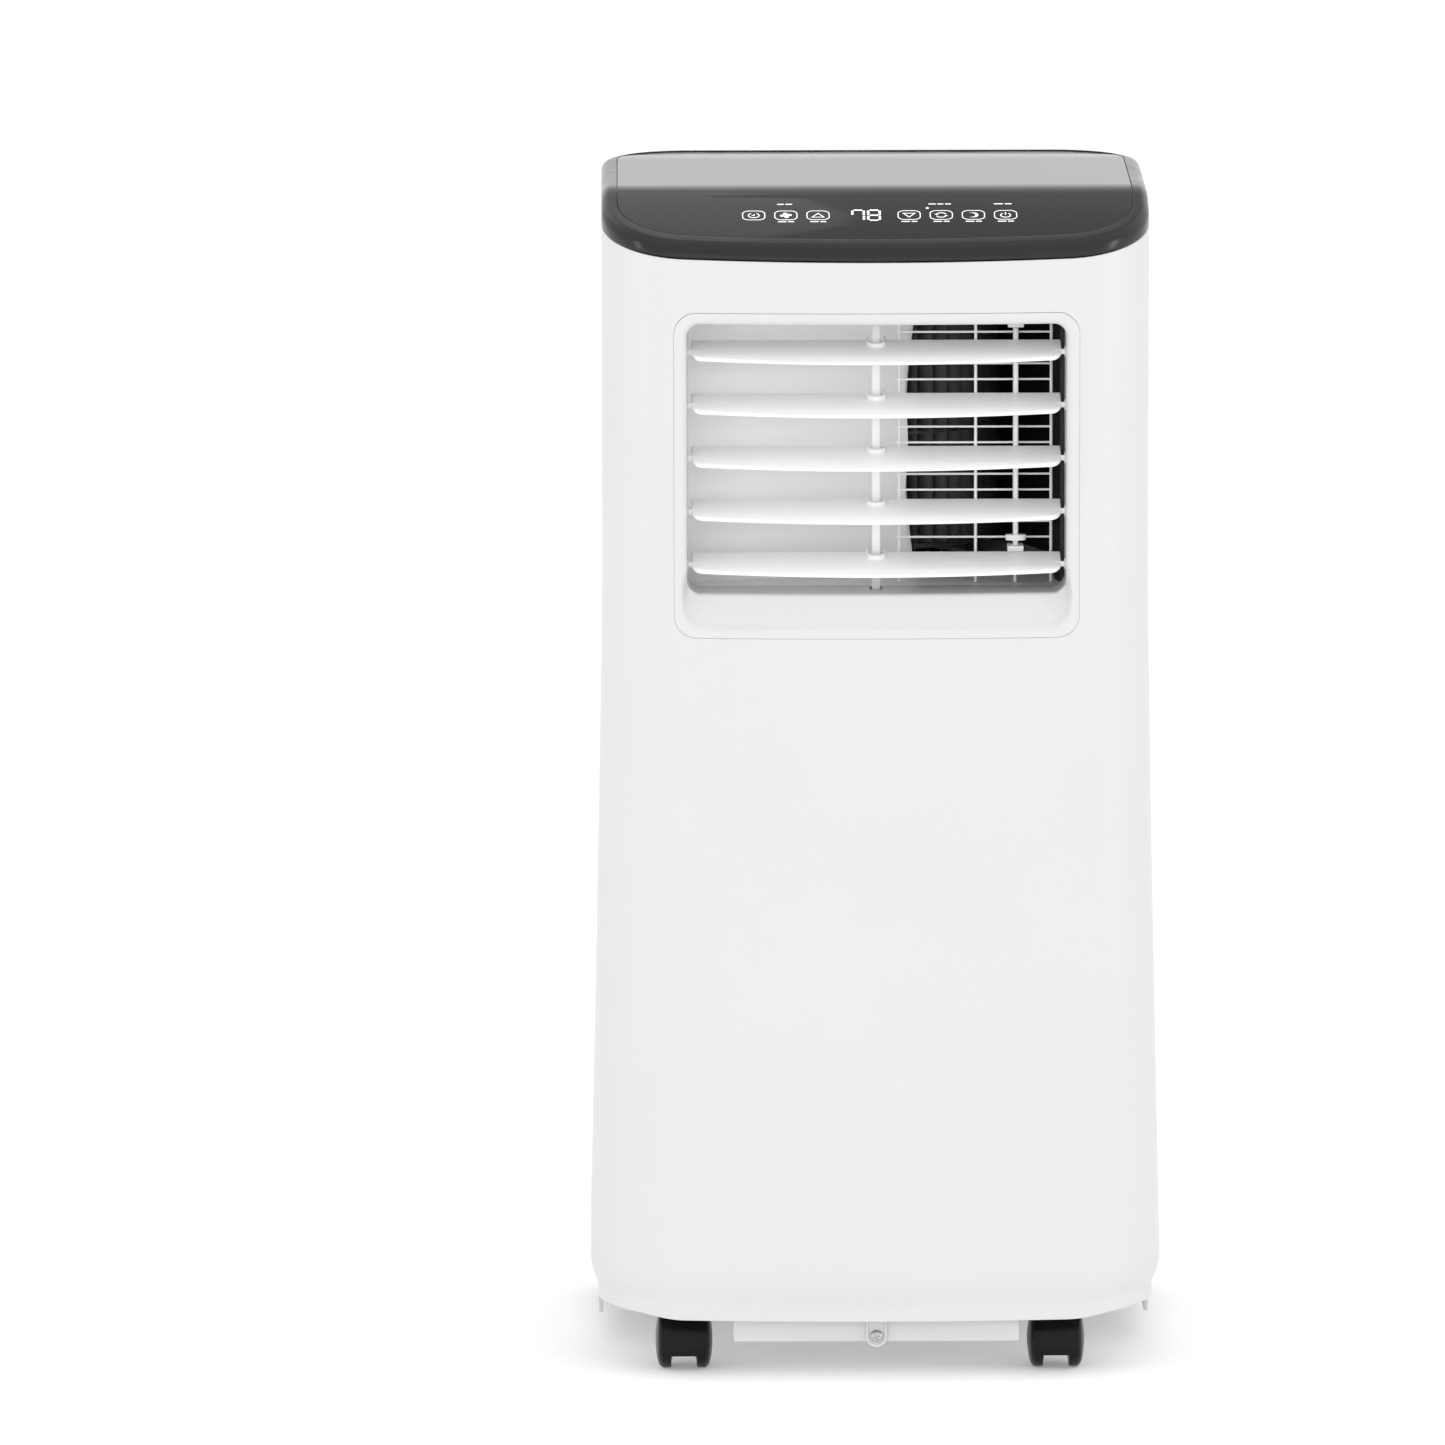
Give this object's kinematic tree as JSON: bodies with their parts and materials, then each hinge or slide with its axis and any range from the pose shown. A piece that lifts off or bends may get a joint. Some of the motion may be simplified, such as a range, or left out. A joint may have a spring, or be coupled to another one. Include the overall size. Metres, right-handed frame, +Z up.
{
  "type": "portable air conditioner",
  "caption": "Upright room air conditioner on four twin-wheel casters, with a sloped touch panel and a louvered front outlet.",
  "frame": {"origin": "on the floor, under the middle of the cabinet", "axes": "+Z up, the louvered front faces -Y, +X to the right seen from the front"},
  "size_m": [0.312, 0.28, 0.646],
  "materials": {
    "casing_white": "satin white moulding with a fine spark texture",
    "louver_white": "smooth white moulding",
    "duct_grey": "light grey moulding",
    "cap_grey": "satin dark grey",
    "panel_gloss": "high gloss dark grey",
    "board_green": "solder mask",
    "black_nylon": "matt black",
    "caster_black": "satin black nylon",
    "steel": "zinc plated",
    "copper": "bright drawn tube",
    "fin_aluminium": "thin bright fins",
    "compressor_paint": "black paint",
    "rubber": "soft black",
    "filter_mesh": "fine woven mesh in a frame"
  },
  "bodies": {
    "root": {"front_shell": "casing_white", "rear_shell": "casing_white", "side_panel_left": "casing_white", "side_panel_right": "casing_white", "base_pan": "casing_white", "top_rim": "cap_grey", "control_panel": "panel_gloss", "display_board": "board_green", "outlet_frame": "casing_white", "finger_guard": "louver_white", "duct_housing": "duct_grey", "blower_motor": "steel", "drip_tray": "duct_grey", "evaporator_fins": "fin_aluminium", "evaporator_tubes": "copper", "condenser_fins": "fin_aluminium", "condenser_tubes": "copper", "condenser_scroll": "black_nylon", "condenser_motor": "steel", "exhaust_duct": "black_nylon", "exhaust_collar": "duct_grey", "compressor": "compressor_paint", "compressor_feet": "rubber", "accumulator": "compressor_paint", "refrigerant_pipes": "copper", "capillary_tube": "copper", "slinger_motor": "steel", "control_box": "steel", "control_board": "board_green", "run_capacitor": "steel", "handle_left": "casing_white", "handle_right": "casing_white", "cord_gland": "black_nylon", "case_screws": "steel", "caster_sockets": "steel"},
    "louver_1": {"louver_1": "louver_white"},
    "louver_2": {"louver_2": "louver_white"},
    "louver_3": {"louver_3": "louver_white"},
    "louver_4": {"louver_4": "louver_white"},
    "louver_5": {"louver_5": "louver_white"},
    "louver_link": {"louver_link": "louver_white"},
    "guide_vane": {"guide_vane": "duct_grey"},
    "blower_wheel": {"blower_wheel": "black_nylon"},
    "condenser_wheel": {"condenser_wheel": "black_nylon"},
    "slinger_wheel": {"slinger_wheel": "louver_white"},
    "caster_hood_fl": {"caster_hood_fl": "caster_black"},
    "caster_hood_fr": {"caster_hood_fr": "caster_black"},
    "caster_hood_rl": {"caster_hood_rl": "caster_black"},
    "caster_hood_rr": {"caster_hood_rr": "caster_black"},
    "caster_wheels_fl": {"caster_wheels_fl": "caster_black"},
    "caster_wheels_fr": {"caster_wheels_fr": "caster_black"},
    "caster_wheels_rl": {"caster_wheels_rl": "caster_black"},
    "caster_wheels_rr": {"caster_wheels_rr": "caster_black"},
    "upper_drain_plug": {"upper_drain_plug": "black_nylon"},
    "lower_drain_plug": {"lower_drain_plug": "black_nylon"},
    "upper_grille": {"upper_grille": "casing_white", "upper_filter": "filter_mesh"},
    "lower_grille": {"lower_grille": "casing_white", "lower_filter": "filter_mesh"}
  },
  "joints": [
    {"name": "louver_1_tilt", "type": "hinge", "parent": "root", "child": "louver_1", "pos_m": [0, -0.121, 0.563], "axis": [1, 0, 0], "range_deg": [-27, 23]},
    {"name": "louver_2_tilt", "type": "hinge", "parent": "root", "child": "louver_2", "pos_m": [0, -0.121, 0.534], "axis": [1, 0, 0], "range_deg": [-27, 23]},
    {"name": "louver_3_tilt", "type": "hinge", "parent": "root", "child": "louver_3", "pos_m": [0, -0.121, 0.505], "axis": [1, 0, 0], "range_deg": [-27, 23]},
    {"name": "louver_4_tilt", "type": "hinge", "parent": "root", "child": "louver_4", "pos_m": [0, -0.121, 0.476], "axis": [1, 0, 0], "range_deg": [-27, 23]},
    {"name": "louver_5_tilt", "type": "hinge", "parent": "root", "child": "louver_5", "pos_m": [0, -0.121, 0.447], "axis": [1, 0, 0], "range_deg": [-27, 23]},
    {"name": "link_pivot", "type": "hinge", "parent": "louver_3", "child": "louver_link", "pos_m": [0, -0.10731, 0.50791], "axis": [1, 0, 0], "range_deg": [-23, 27]},
    {"name": "vane_swing", "type": "hinge", "parent": "root", "child": "guide_vane", "pos_m": [0.076, -0.096, 0.5135], "axis": [0, 0, 1], "range_deg": [-35, 35]},
    {"name": "blower_spin", "type": "hinge", "parent": "root", "child": "blower_wheel", "pos_m": [0, 0.008, 0.51], "axis": [0, 0, 1], "continuous": true},
    {"name": "condenser_spin", "type": "hinge", "parent": "root", "child": "condenser_wheel", "pos_m": [0.038, 0.064, 0.128], "axis": [0, 1, 0], "continuous": true},
    {"name": "slinger_spin", "type": "hinge", "parent": "root", "child": "slinger_wheel", "pos_m": [-0.062, 0.096, 0.084], "axis": [0, 1, 0], "continuous": true},
    {"name": "swivel_fl", "type": "hinge", "parent": "root", "child": "caster_hood_fl", "pos_m": [-0.105, -0.094, 0.045], "axis": [0, 0, 1], "continuous": true},
    {"name": "roll_fl", "type": "hinge", "parent": "caster_hood_fl", "child": "caster_wheels_fl", "pos_m": [-0.105, -0.102, 0.016], "axis": [1, 0, 0], "continuous": true},
    {"name": "swivel_fr", "type": "hinge", "parent": "root", "child": "caster_hood_fr", "pos_m": [0.0985, -0.094, 0.045], "axis": [0, 0, 1], "continuous": true},
    {"name": "roll_fr", "type": "hinge", "parent": "caster_hood_fr", "child": "caster_wheels_fr", "pos_m": [0.0985, -0.102, 0.016], "axis": [1, 0, 0], "continuous": true},
    {"name": "swivel_rl", "type": "hinge", "parent": "root", "child": "caster_hood_rl", "pos_m": [-0.105, 0.094, 0.045], "axis": [0, 0, 1], "continuous": true},
    {"name": "roll_rl", "type": "hinge", "parent": "caster_hood_rl", "child": "caster_wheels_rl", "pos_m": [-0.105, 0.086, 0.016], "axis": [1, 0, 0], "continuous": true},
    {"name": "swivel_rr", "type": "hinge", "parent": "root", "child": "caster_hood_rr", "pos_m": [0.0985, 0.094, 0.045], "axis": [0, 0, 1], "continuous": true},
    {"name": "roll_rr", "type": "hinge", "parent": "caster_hood_rr", "child": "caster_wheels_rr", "pos_m": [0.0985, 0.086, 0.016], "axis": [1, 0, 0], "continuous": true},
    {"name": "upper_grille_pull", "type": "slide", "parent": "root", "child": "upper_grille", "axis": [0, 1, 0], "range_m": [0, 0.05]},
    {"name": "lower_grille_pull", "type": "slide", "parent": "root", "child": "lower_grille", "axis": [0, 1, 0], "range_m": [0, 0.05]},
    {"name": "upper_plug_pull", "type": "slide", "parent": "root", "child": "upper_drain_plug", "axis": [0, 1, 0], "range_m": [0, 0.03]},
    {"name": "lower_plug_pull", "type": "slide", "parent": "root", "child": "lower_drain_plug", "axis": [0, 1, 0], "range_m": [0, 0.03]}
  ],
  "couplings": [
    {"joint": "louver_1_tilt", "follows": "louver_3_tilt", "ratio": 1},
    {"joint": "louver_2_tilt", "follows": "louver_3_tilt", "ratio": 1},
    {"joint": "louver_4_tilt", "follows": "louver_3_tilt", "ratio": 1},
    {"joint": "louver_5_tilt", "follows": "louver_3_tilt", "ratio": 1},
    {"joint": "link_pivot", "follows": "louver_3_tilt", "ratio": -1}
  ]
}
